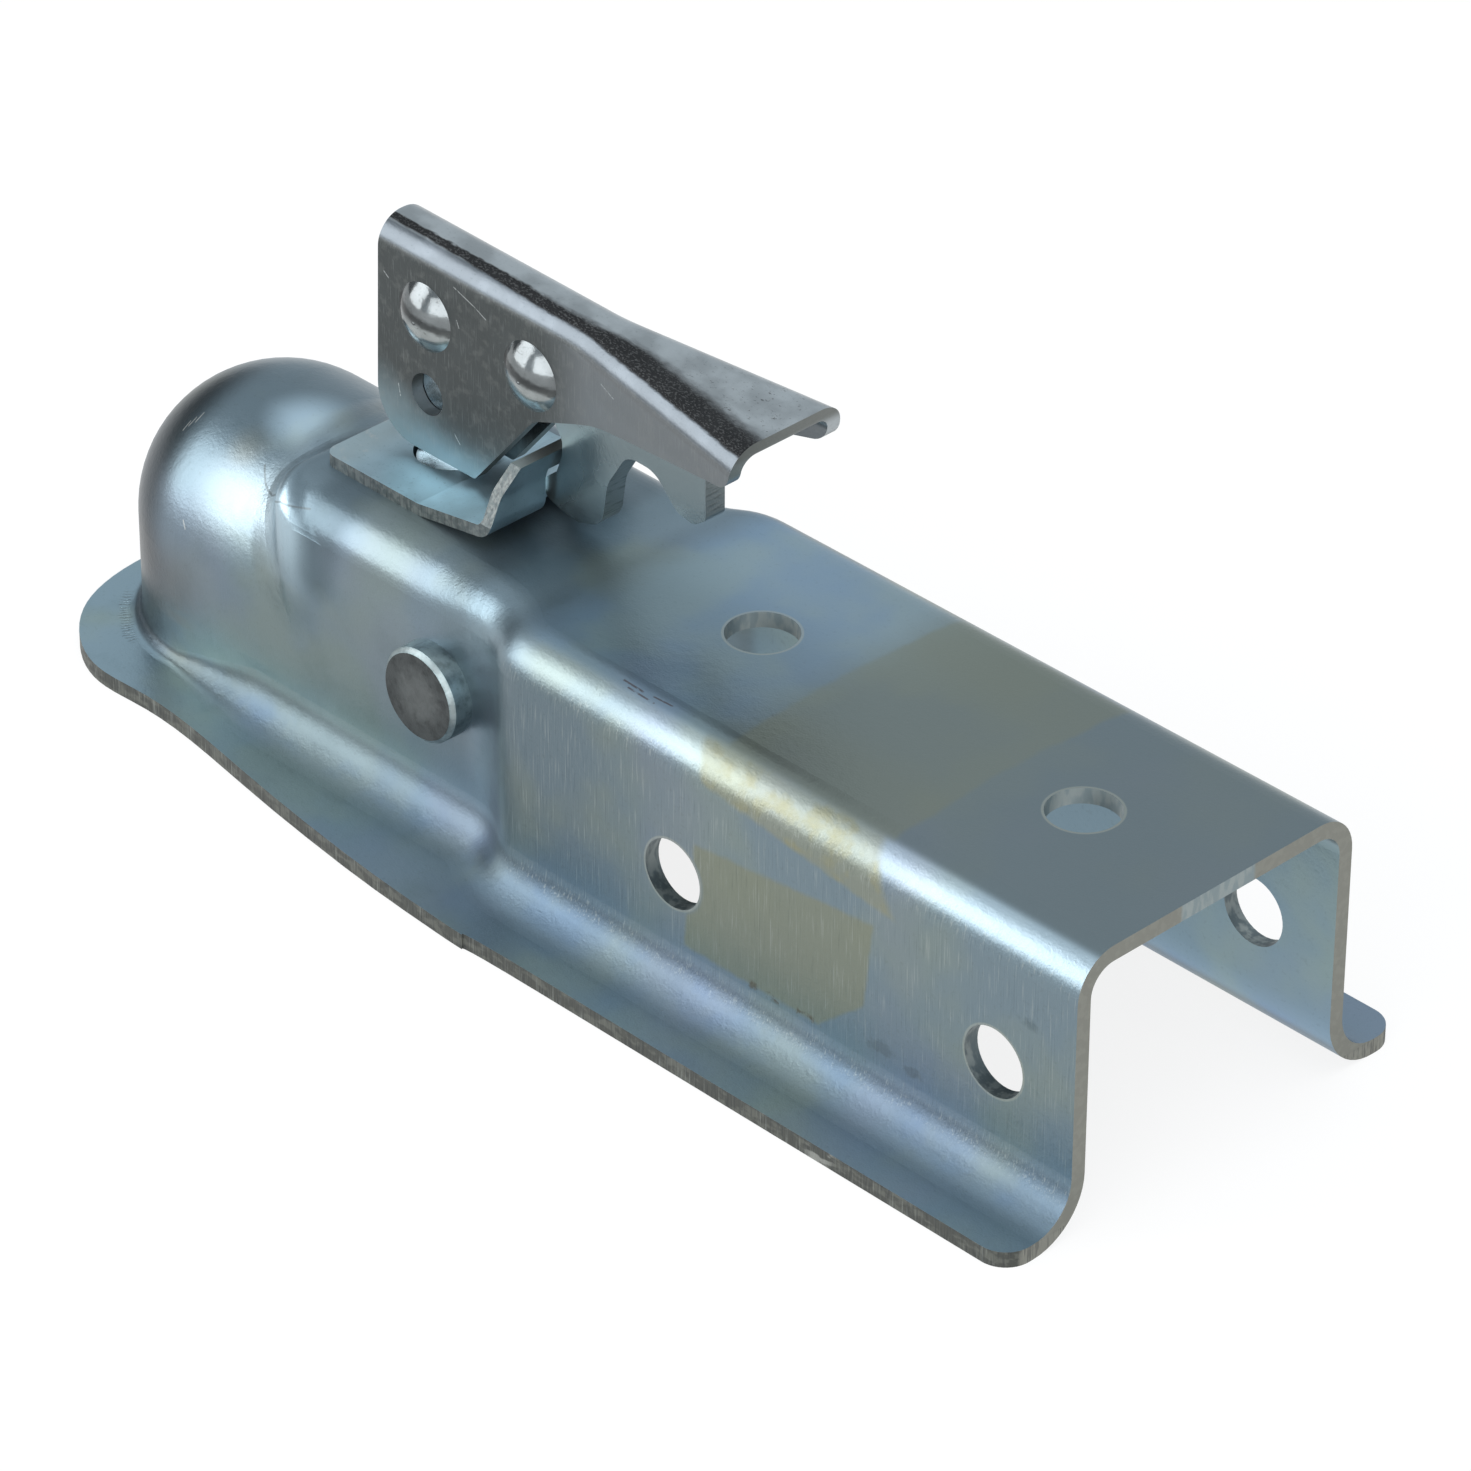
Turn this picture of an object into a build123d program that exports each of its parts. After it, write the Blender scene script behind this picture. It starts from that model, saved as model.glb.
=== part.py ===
from build123d import *
import os
from math import asin, atan2, cos, degrees, radians, sin, sqrt, tan

# Trailer coupling head: a pressed sheet-steel channel with a ball dome at its front, a cam lever with
# a trigger on top, and a clamp that the lever draws up under the ball.
# Millimetres, +Z up. The origin is on the ball socket's upright axis, on the underside of the flange.
# +X runs toward the open tail of the channel.

# Sheet and ball
sheet = 3.4
ball_r = 25.4
ball_clear = 0.5
socket_r = ball_r + ball_clear
dome_r = socket_r + sheet
ball_z = 27.5

# Channel over the trailer tongue
tongue_half = 31.75
tongue_clear = 0.8
chan_half = tongue_half + tongue_clear + sheet
height = 59.3
tail_x = 251.0
top_bend = 9.0

# Narrow body between the dome and the channel
front_x = 24.0
front_corner = 11.0
valley_r = 6.0
valley_end = 3.5
step_end = 107.5

# Flange round the foot
nose_bend = 3.0
side_bend = 9.3
flange_half = chan_half + 16.45
nose_lip = 5.4
nose_waist = 12.75
flange_start = 130.0
tail_corner = 6.0

# Bolt holes
bolt_hole_r = 7.25
bolt_gap = 82.55
top_hole_x = 218.0
side_hole_x = 231.15
side_hole_z = 28.3

# Cross pin
pin_x = 76.9
pin_z = 33.1
pin_r = 6.35
pin_head_r = 9.95
pin_head = 5.0
pin_chamfer = 0.9
peen_h = 3.2
step_start = pin_x + pin_head_r + 0.1

# Running clearance of every turning fit
run = 0.05

# Draw bolt, nut, washer and clamp spring
bolt_x = 50.0
bolt_r = 7.0
bolt_low_z = 10.0
bolt_hole_clear = 0.6
eye_r = 8.2
eye_half = 3.3
nut_flat = 21.0
nut_h = 9.5
nut_collar_h = 3.2
ring_h = 2.0
ring_wall = 1.6
ring_low = 0.6
seat_gap = 0.05
washer_r = 13.5
washer_t = 2.0
wire_r = 1.3
spring_r = 10.6
spring_turns = 4.0

# Clamp
hub_r = 11.0
hub_half = socket_r - 0.5
jaw_half = 17.0
jaw_low_z = 12.6
seat_z = 34.5
rib_r = 5.4
rib_z = 29.0
rib_proud = 3.0
clamp_slot = 3.0

# Saddle plate
saddle_t = 2.6
saddle_front = 33.0
saddle_half = 18.2
saddle_rise_x = 60.0
saddle_rise_z = 3.4
tab_half = 12.6
tab_foot_x = 80.7
tab_knee_z = height + 11.7
tab_top_x = 83.2
tab_top_z = height + 18.2
curl_r = 2.0
tab_knee_r = 6.0
saddle_corner = 3.0
slot_half = 4.0
slot_top_z = tab_knee_z + 2.0

# Lever
lever_x = bolt_x
lever_gap = 2.0
lever_foot = 30.1
lever_z = height + saddle_t + lever_gap + lever_foot
rivet_r = 4.5
rivet_head_r = 7.25
rivet_head = 3.0
cheek_t = 2.8
lever_half = eye_half + 0.3 + cheek_t
lever_wide = 14.5
lever_rise = 16.1
lever_top = lever_z + lever_rise
lever_bend = 6.0
lever_knee = 90.0
lever_knee_r = 120.0
lever_flare_r = 45.0
lever_knee_drop = 0.8
lever_end = 142.0
lever_end_drop = 3.2
lever_front = 35.7
lever_lean = 1.7
lever_heel = 63.4
lever_toe_r = 10.0
safety_x = 50.2
safety_z = lever_z - 17.0
safety_r = 4.4

# Trigger
trig_x = 79.2
trig_z = lever_z - 0.6
trig_rivet_r = 4.0
trig_half = 2.5
trig_boss_r = 7.6
trig_wire_r = 0.4
trig_spring_r = 1.8
trig_spring_low = 0.6
trig_spring_rest = 0.3
trig_spring_turns = 5.0
trig_spring_x = 95.0
trig_back_top = trig_z - 0.9
trig_end = 122.7
trig_neck = 86.0
trig_front_top = trig_z + 3.6

os.makedirs("parts", exist_ok=True)


def save(shape, name):
    shape.label = name
    export_step(shape, "parts/" + name + ".step")


def both_sides(shape):
    return shape + mirror(shape, about=Plane.XZ)


def up_cylinder(x, y, z, r, h):
    return Pos(x, y, z) * Cylinder(r, h, align=(Align.CENTER, Align.CENTER, Align.MIN))


def cross_cylinder(x, z, r, half):
    return Pos(x, 0, z) * (Rotation(90, 0, 0) * Cylinder(r, 2 * half))


def side_plate(face, half):
    return extrude(face, half, both=True)


def side_face(points):
    return Plane.XZ * make_face(Polyline(*points, close=True))


def soften(face, corners):
    for x, z, r in corners:
        near = face.vertices().sort_by(lambda v: (v.X - x) ** 2 + (v.Z - z) ** 2)[0]
        face = fillet(near, r)
    return face


# The wall steps outward from the narrow body to the channel on two equal, tangent arcs.
step_len = step_end - step_start
step_out = chan_half - dome_r
step_r = (step_len ** 2 + step_out ** 2) / (4 * step_out)
step_turn = asin(step_len / 2 / step_r)


def wall_line(out, start_x, end_x):
    near, far = dome_r + out, chan_half + out
    r_a, r_b = step_r - out, step_r + out
    half, full = step_turn / 2, step_turn
    mid = (step_start + r_a * sin(full), near + r_a * (1 - cos(full)))
    way_a = (step_start + r_a * sin(half), near + r_a * (1 - cos(half)))
    way_b = (step_end - r_b * sin(half), far - r_b * (1 - cos(half)))
    return [
        Line((start_x, near), (step_start, near)),
        ThreePointArc((step_start, near), way_a, mid),
        ThreePointArc(mid, way_b, (step_end, far)),
        Line((step_end, far), (end_x, far)),
    ]


def plan_face(half_lines):
    with BuildSketch() as sketch:
        with BuildLine() as edge:
            for line in half_lines:
                add(line)
            mirror(edge.line, about=Plane.XZ)
        make_face()
    return sketch.sketch


def envelope(inset):
    r = dome_r - inset
    front = front_x + inset
    corner = front_corner - inset
    end = tail_x + inset
    lines = [Line((front, 0), (front, r - corner))]
    lines += [RadiusArc((front, r - corner), (front + corner, r), corner)]
    lines += wall_line(-inset, front + corner, end)
    lines += [Line((end, chan_half - inset), (end, 0))]
    block = extrude(plan_face(lines), height - inset)
    rim = [e for e in block.edges() if e.center().Z > height - inset - 0.01 and e.center().X < end - 0.5]
    block = fillet(rim, top_bend - inset)
    ball_top = Pos(0, 0, ball_z) * (Rotation(0, -35, 0) * Sphere(r)) - Box(4 * r, 4 * r, 2 * ball_z)
    skirt = up_cylinder(0, 0, 0, r, ball_z)
    neck_len = front_x + front_corner
    neck = Rotation(0, 90, 0) * up_cylinder(0, 0, 0, r, neck_len)
    neck -= Box(4 * neck_len, 4 * r, 4 * r, align=(Align.CENTER, Align.CENTER, Align.MAX))
    foot = Box(neck_len, 2 * r, ball_z, align=(Align.MIN, Align.CENTER, Align.MIN))
    shape = ball_top + skirt + Pos(0, 0, ball_z) * neck + foot + block
    valley = []
    for e in shape.edges():
        c = e.center()
        if front_x - 4 < c.X < front_x + front_corner and ball_z + 2 < c.Z < height - 0.5:
            sides = [f for f in shape.faces() if any(e.is_same(x) for x in f.edges())]
            if any(f.geom_type == GeomType.CYLINDER and abs(f.center().X - front_x / 2) < 9 for f in sides):
                valley.append(e)
    # The valley runs out to nothing where the neck and the front corner both meet the flat side wall, so
    # its blend stops just short of there.
    smooth = fillet(valley, valley_r + inset)
    run_out = Pos(front_x + front_corner - 1, 0, ball_z) * Box(8, 4 * r, 2 * valley_end)
    return (smooth - run_out) + (shape & run_out)


def foot_face(r, base, x):
    top = sheet + side_bend
    bend = sheet + r
    slant = r * (1 - cos(radians(45)))
    under = (r + sheet) * cos(radians(45))
    with BuildSketch(Plane(origin=(x, base, 0), x_dir=(0, 1, 0), z_dir=(1, 0, 0))) as sketch:
        with BuildLine():
            Polyline((-sheet, bend), (-sheet, top + 0.01), (0, top + 0.01), (0, bend))
            ThreePointArc((0, bend), (slant, sheet + slant), (r, sheet))
            Line((r, sheet), (r, 0))
            ThreePointArc((r, 0), (r - under, bend - under), (-sheet, bend))
        make_face()
    return sketch.sketch


def pressed_housing():
    foot_top = sheet + side_bend
    walls = envelope(0) - envelope(sheet)
    walls -= Box(4 * tail_x, 4 * chan_half, 2 * foot_top)
    nose = revolve(foot_face(nose_bend, dome_r, 0), Axis.Z, 180)
    turn = degrees(step_turn)
    ease = loft([foot_face(nose_bend, dome_r, 0), foot_face(side_bend, dome_r, front_x)], ruled=True)
    straight = extrude(foot_face(side_bend, dome_r, front_x), step_start - front_x)
    axis_a = Axis((step_start, dome_r + step_r, 0), (0, 0, 1))
    axis_b = Axis((step_end, chan_half - step_r, 0), (0, 0, 1))
    step_a = revolve(foot_face(side_bend, dome_r, step_start), axis_a, turn)
    step_b = revolve(foot_face(side_bend, chan_half, step_end), axis_b, turn)
    channel = extrude(foot_face(side_bend, chan_half, step_end), tail_x - step_end)
    foot = nose
    for piece in (ease, straight, step_a, step_b, channel):
        foot += both_sides(piece)

    nose_r = dome_r + nose_bend
    nose_mid = nose_r * cos(radians(45))
    core = [ThreePointArc((-nose_r, 0), (-nose_mid, nose_mid), (0, nose_r))]
    core += [Line((0, nose_r), (front_x, dome_r + side_bend))]
    core += wall_line(side_bend, front_x, tail_x)
    core += [Line((tail_x, chan_half + side_bend), (tail_x, 0))]
    lip = dome_r + nose_lip
    waist = dome_r + nose_waist
    rim_shares = [(23, 0.144), (44, 0.471), (65, 0.75), (88, 0.97), (109, 1.08), (flange_start, 1)]
    rim = [
        Spline(
            (-lip, 0), (-lip * 0.971, 16.5), (-lip * 0.859, 27.6), (-21.5, waist - 5.2), (-10, waist), (3, waist),
            *[(x, waist + (flange_half - waist) * share) for x, share in rim_shares],
            tangents=((0, 1), (1, 0)),
        ),
        Line((flange_start, flange_half), (tail_x - tail_corner, flange_half)),
        RadiusArc((tail_x - tail_corner, flange_half), (tail_x, flange_half - tail_corner), tail_corner),
        Line((tail_x, flange_half - tail_corner), (tail_x, 0)),
    ]
    flange = extrude(plan_face(rim) - plan_face(core), sheet)
    shape = walls + foot + flange

    for x in (top_hole_x, top_hole_x - bolt_gap):
        shape -= up_cylinder(x, 0, height / 2, bolt_hole_r, height)
    for x in (side_hole_x, side_hole_x - bolt_gap):
        shape -= cross_cylinder(x, side_hole_z, bolt_hole_r, 2 * chan_half)
    shape -= cross_cylinder(pin_x, pin_z, pin_r, 2 * chan_half)
    shape -= up_cylinder(bolt_x, 0, height / 2, bolt_r + bolt_hole_clear, height)
    return shape


def cross_pin():
    near = -dome_r
    shape = cross_cylinder(pin_x, pin_z, pin_r, dome_r)
    head = Pos(pin_x, near, pin_z) * (Rotation(90, 0, 0) * Cylinder(pin_head_r, pin_head,
           align=(Align.CENTER, Align.CENTER, Align.MIN)))
    head = chamfer(head.edges().sort_by(Axis.Y)[0], pin_chamfer)
    peen = Pos(pin_x, -near, pin_z) * domed_head(pin_head_r * 0.9, peen_h, -90)
    return shape + head + peen


def domed_head(r, h, turn):
    ball = (r * r + h * h) / (2 * h)
    cap = Pos(0, 0, h - ball) * Sphere(ball) - Pos(0, 0, -4 * ball) * Box(4 * ball, 4 * ball, 8 * ball)
    rim = Cylinder(r, h, align=(Align.CENTER, Align.CENTER, Align.MIN))
    return Rotation(turn, 0, 0) * (cap & rim)


def rivet(x, z, r):
    shape = cross_cylinder(x, z, r, lever_half)
    near = Pos(x, -lever_half, z) * domed_head(rivet_head_r, rivet_head, 90)
    far = Pos(x, lever_half, z) * domed_head(rivet_head_r, rivet_head, -90)
    return shape + near + far


def ball_clamp():
    under_z = rib_z - rib_r + rib_proud
    profile = side_face([
        (17, jaw_low_z), (28, jaw_low_z), (36, under_z), (60, under_z),
        (pin_x - 6, pin_z - hub_r + 1.5), (pin_x + 4, pin_z), (pin_x - 6, pin_z + hub_r - 1.5),
        (62, seat_z), (36, seat_z), (29, 30.5), (17, 30.5),
    ])
    profile = soften(profile, [(36, seat_z, 3), (29, 30.5, 3), (28, jaw_low_z, 3), (36, under_z, 2)])
    body = side_plate(profile, hub_half)
    waist = [(0, 0), (0, jaw_half), (46, jaw_half), (66, hub_half), (100, hub_half), (100, 0)]
    plan = make_face(Polyline(*waist, *[(x, -y) for x, y in reversed(waist[1:-1])], close=True))
    body = body & extrude(plan, height)
    body += cross_cylinder(bolt_x, rib_z, rib_r, jaw_half)
    body += cross_cylinder(pin_x, pin_z, hub_r, hub_half)
    body -= Pos(0, 0, ball_z) * Sphere(socket_r)
    body -= up_cylinder(0, 0, 0, socket_r * 0.8, ball_z)
    body -= cross_cylinder(pin_x, pin_z, pin_r + run, 2 * hub_half)
    slot_r = bolt_r + bolt_hole_clear
    slot = SlotCenterToCenter(clamp_slot, 2 * slot_r)
    body -= Pos(bolt_x - clamp_slot / 2, 0, 0) * extrude(slot, height)
    return body


def draw_bolt():
    shank_top = lever_z - lever_foot - 3
    shank = up_cylinder(bolt_x, 0, bolt_low_z, bolt_r, shank_top - bolt_low_z)
    shank = chamfer(shank.edges().sort_by(Axis.Z)[0], 1.0)
    neck = up_cylinder(bolt_x, 0, shank_top - 0.5, bolt_r, lever_z - shank_top)
    flat = Pos(bolt_x, 0, 0) * Box(4 * bolt_r, 2 * eye_half, 2 * (lever_z + 2 * bolt_r))
    eye = cross_cylinder(bolt_x, lever_z, eye_r, eye_half)
    shape = shank + (neck & flat) + eye
    shape -= cross_cylinder(bolt_x, lever_z, rivet_r + run, 2 * eye_half)
    shape -= cross_cylinder(safety_x, safety_z, safety_r, 2 * eye_half)
    return shape


nut_top = rib_z - rib_r - seat_gap


def lock_nut():
    hexagon = extrude(RegularPolygon(nut_flat / 2, 6, major_radius=False), nut_h)
    hexagon = hexagon & Pos(0, 0, nut_h - nut_flat / 2 - 2) * Sphere(nut_flat * 0.72)
    hexagon -= Box(2 * nut_flat, 2 * nut_flat, 2 * nut_collar_h)
    collar = Cylinder(nut_flat * 0.46, nut_h, align=(Align.CENTER, Align.CENTER, Align.MIN))
    collar = fillet(collar.edges().sort_by(Axis.Z)[0], 1.0)
    shape = Rotation(0, 0, 30) * (hexagon + collar - Cylinder(bolt_r, 4 * nut_h))
    shape -= up_cylinder(0, 0, ring_low, bolt_r + ring_wall, ring_h)
    return Pos(bolt_x, 0, nut_top - nut_h) * shape


def nut_ring():
    shape = up_cylinder(0, 0, ring_low, bolt_r + ring_wall, ring_h) - up_cylinder(0, 0, 0, bolt_r, nut_h)
    return Pos(bolt_x, 0, nut_top - nut_h) * shape


def coil(mean_r, wire, turns, low, high):
    rise = high - low
    pitch = rise / turns
    path = Helix(pitch, rise, mean_r)
    section = Plane(origin=path @ 0, z_dir=path % 0) * Circle(wire)
    body = sweep(section, path=path, is_frenet=True)
    slab = Pos(0, 0, rise / 2) * Box(4 * mean_r, 4 * mean_r, rise - wire)
    return Pos(0, 0, low) * (body & slab)


def saddle_plate():
    base = height
    rise = saddle_rise_z / (tab_foot_x - saddle_rise_x)
    lift = saddle_t * sqrt(1 + rise * rise)
    lean = atan2(tab_top_x - tab_foot_x, tab_top_z - tab_knee_z)
    front_foot_x = tab_foot_x - saddle_t
    knee_shift = saddle_t * tan(lean / 2)
    top_front_x = tab_top_x - saddle_t / cos(lean)
    face = side_face([
        (saddle_front, base), (saddle_rise_x, base), (tab_foot_x, base + saddle_rise_z),
        (tab_foot_x, tab_knee_z), (tab_top_x, tab_top_z), (top_front_x, tab_top_z),
        (front_foot_x, tab_knee_z + knee_shift),
        (front_foot_x, base + lift + rise * (front_foot_x - saddle_rise_x)),
        (saddle_rise_x, base + lift), (saddle_front, base + lift),
    ])
    face = soften(face, [
        (tab_foot_x, base + saddle_rise_z, curl_r + saddle_t), (tab_foot_x, tab_knee_z, tab_knee_r),
        (front_foot_x, tab_knee_z + knee_shift, tab_knee_r + saddle_t),
        (front_foot_x, base + lift + rise * (front_foot_x - saddle_rise_x), curl_r),
    ])
    shape = side_plate(face, saddle_half)
    corners = [e for e in shape.edges() if abs(e.center().X - saddle_front) < 0.1 and e.length < 2 * lift]
    shape = fillet(corners, saddle_corner)
    taper_z = base + saddle_rise_z + saddle_t
    taper = (saddle_half - tab_half) / (tab_top_z - taper_z)
    low_half = saddle_half + 5 * taper
    side = [(-low_half, taper_z - 5), (low_half, taper_z - 5), (tab_half, tab_top_z)]
    side += [(-tab_half, tab_top_z)]
    window = extrude(Plane.YZ * make_face(Polyline(*side, close=True)), lever_end)
    below = Pos(0, 0, height - 1) * Box(lever_end * 2, 4 * saddle_half, taper_z - height + 1,
            align=(Align.CENTER, Align.CENTER, Align.MIN))
    shape = shape & (window + below)
    shape -= up_cylinder(bolt_x, 0, height / 2, bolt_r + bolt_hole_clear, height)
    slot = Box(30, 2 * slot_half, slot_top_z - height, align=(Align.MIN, Align.CENTER, Align.MIN))
    return shape - Pos(front_foot_x - curl_r - 1, 0, height) * slot


def lever_roof(x):
    if x < lever_knee:
        return lever_top - lever_knee_drop * (x - bolt_x) / (lever_knee - bolt_x)
    run_out = (x - lever_knee) / (lever_end - lever_knee)
    return lever_top - lever_knee_drop - (lever_end_drop - lever_knee_drop) * run_out


def lever_shell(inset, start_x):
    low = lever_z - lever_foot - (60 if inset else 0)
    half_a, half_b = lever_half - inset, lever_wide - inset
    flare_x = lever_knee + 3
    end = lever_end + inset
    plan = [(start_x, 0), (start_x, half_a), (flare_x, half_a), (end, half_b), (end, 0)]
    outline = make_face(Polyline(*plan, *[(x, -y) for x, y in reversed(plan[1:-1])], close=True))
    knees = [v for v in outline.vertices() if abs(v.X - flare_x) < 0.1]
    outline = fillet(knees, lever_flare_r)
    body = Pos(0, 0, low) * extrude(outline, lever_top + 5 - low)
    ends = [(x, lever_roof(x) - inset) for x in (start_x - 5, lever_knee, lever_end + 5)]
    roof = side_face([(start_x - 5, low - 1)] + ends + [(lever_end + 5, low - 1)])
    roof = soften(roof, [(*ends[1], lever_knee_r)])
    body = body & side_plate(roof, 2 * lever_wide)
    rims = []
    for e in body.edges():
        c = e.center()
        on_top = c.Z > lever_roof(c.X) - inset - 0.5
        if on_top and start_x + 1 < c.X < end - 0.5 and abs(c.Y) > half_a - 1:
            rims.append(e)
    return fillet(rims, lever_bend - inset)


def lever_handle():
    foot = lever_z - lever_foot
    outline = side_face([
        (lever_front + lever_lean, lever_top + 6), (lever_front, foot),
        (lever_heel, foot), (80.0, foot + 19.9), (99.2, foot + 27.3), (lever_end - 1.8, foot + 34.5),
        (lever_end, lever_roof(lever_end)), (lever_end, lever_top + 6),
    ])
    outline = soften(outline, [
        (lever_front, foot, lever_toe_r), (lever_heel, foot, 1.0), (80.0, foot + 19.9, 7),
        (99.2, foot + 27.3, 40), (lever_end - 1.8, foot + 34.5, 4),
    ])
    shape = lever_shell(0, 20) - lever_shell(cheek_t, 10)
    shape = shape & side_plate(outline, 2 * lever_wide)
    shape -= cross_cylinder(lever_x, lever_z, rivet_r, 2 * lever_half)
    shape -= cross_cylinder(trig_x, trig_z, trig_rivet_r, 2 * lever_half)
    shape -= cross_cylinder(safety_x, safety_z, safety_r, 2 * lever_half)
    return shape


def trigger():
    # Each corner of the plate: along X and Z from the pivot, and its radius.
    corners = [
        (-5.7, -4.4, 0), (1.7, -9.4, 4), (4.7, -13.9, 2.5), (4.4, -17.4, 0), (3.0, -21.2, 0),
        (-0.9, -24.4, 0.5), (0.1, -28.0, 2), (4.0, -29.2, 0), (8.9, -29.9, 0), (15.4, -27.9, 5),
        (17.0, -17.9, 8), (22.3, -9.4, 4.5), (29.8, -9.6, 6), (35.8, -15.8, 4), (40.3, -16.6, 2.5),
        (trig_end - trig_x, -14.4, 1.5), (trig_end - trig_x, trig_back_top - trig_z, 2),
        (trig_neck - trig_x, trig_front_top - trig_z, 0), (0, trig_boss_r - 0.1, 0),
    ]
    plate = side_face([(trig_x + x, trig_z + z) for x, z, r in corners])
    plate = soften(plate, [(trig_x + x, trig_z + z, r) for x, z, r in corners if r])
    shape = side_plate(plate, trig_half)
    shape += cross_cylinder(trig_x, trig_z, trig_boss_r, trig_half)
    return shape - cross_cylinder(trig_x, trig_z, trig_rivet_r + run, 2 * trig_half)


washer_low = height - sheet - washer_t


def spring_washer():
    disc = up_cylinder(bolt_x, 0, washer_low, washer_r, washer_t)
    return disc - up_cylinder(bolt_x, 0, washer_low - 1, bolt_r + bolt_hole_clear, washer_t + 2)


spring_top_z = lever_roof(trig_spring_x) - cheek_t - trig_spring_low
trig_span = (trig_spring_x - trig_neck) / (trig_end - trig_neck)
trig_seat_z = trig_front_top + (trig_back_top - trig_front_top) * trig_span + trig_spring_rest
clamp_coil = coil(spring_r, wire_r, spring_turns, seat_z - wire_r / 2, washer_low + wire_r / 2)
trig_coil = coil(trig_spring_r, trig_wire_r, trig_spring_turns, trig_seat_z, spring_top_z + trig_wire_r / 2)

save(pressed_housing(), "housing")
save(cross_pin(), "cross_pin")
save(saddle_plate(), "saddle_plate")
save(spring_washer(), "spring_washer")
save(ball_clamp(), "ball_clamp")
save(draw_bolt(), "draw_bolt")
save(lock_nut(), "lock_nut")
save(nut_ring(), "nut_ring")
save(Pos(bolt_x, 0, 0) * clamp_coil, "clamp_spring")
save(lever_handle(), "lever_handle")
save(rivet(lever_x, lever_z, rivet_r), "lever_rivet")
save(trigger(), "trigger")
save(rivet(trig_x, trig_z, trig_rivet_r), "trigger_rivet")
save(Pos(trig_spring_x, 0, 0) * trig_coil, "trigger_spring")
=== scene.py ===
import bpy
from mathutils import Matrix, Vector

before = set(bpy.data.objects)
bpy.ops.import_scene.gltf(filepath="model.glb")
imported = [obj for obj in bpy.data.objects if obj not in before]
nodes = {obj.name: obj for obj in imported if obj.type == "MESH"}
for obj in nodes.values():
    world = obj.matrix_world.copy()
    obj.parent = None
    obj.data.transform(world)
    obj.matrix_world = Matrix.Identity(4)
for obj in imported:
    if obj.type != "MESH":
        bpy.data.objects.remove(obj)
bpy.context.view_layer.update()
scene = bpy.context.scene


# Small tools for building a finish

class Wire:
    """One output of a node. Sums, products and powers of it add Math nodes."""

    def __init__(self, bench, socket):
        self.bench = bench
        self.socket = socket

    def __add__(self, other):
        return self.bench.math("ADD", self, other)

    __radd__ = __add__

    def __sub__(self, other):
        return self.bench.math("SUBTRACT", self, other)

    def __rsub__(self, other):
        return self.bench.math("SUBTRACT", other, self)

    def __mul__(self, other):
        return self.bench.math("MULTIPLY", self, other)

    __rmul__ = __mul__

    def __truediv__(self, other):
        return self.bench.math("DIVIDE", self, other)

    def __rtruediv__(self, other):
        return self.bench.math("DIVIDE", other, self)

    def __abs__(self):
        return self.bench.math("ABSOLUTE", self)

    def root(self):
        return self.bench.math("SQRT", self)

    def either(self, other):
        return self.bench.math("MAXIMUM", self, other)


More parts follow.
